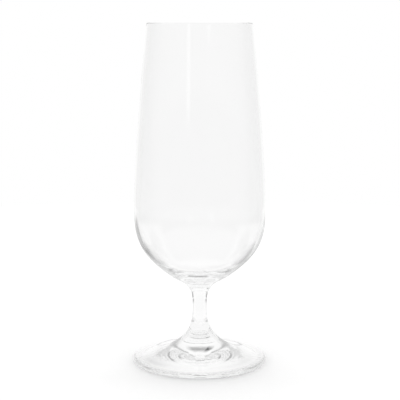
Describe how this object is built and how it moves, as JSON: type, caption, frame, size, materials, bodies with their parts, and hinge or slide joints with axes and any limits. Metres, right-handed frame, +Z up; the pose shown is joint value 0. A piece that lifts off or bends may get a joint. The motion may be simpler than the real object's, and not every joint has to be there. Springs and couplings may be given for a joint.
{
  "type": "stemmed pilsner glass",
  "caption": "Tall clear drinking glass for beer: a thin-walled bowl, widest low down and narrowing to the rim, on a short waisted stem and a round flared foot.",
  "frame": {"origin": "centre of the standing ring, on the plane that the glass stands on", "axes": "+Z up along the axis of the glass, from foot to rim; X and Y are alike because the glass is round"},
  "size_m": [0.075, 0.075, 0.19],
  "materials": {
    "clear_glass": "fire-polished clear soda-lime or lead-free crystal glass, smooth and colourless"
  },
  "bodies": {
    "root": {"bowl": "clear_glass", "stem": "clear_glass", "foot": "clear_glass"}
  },
  "joints": []
}
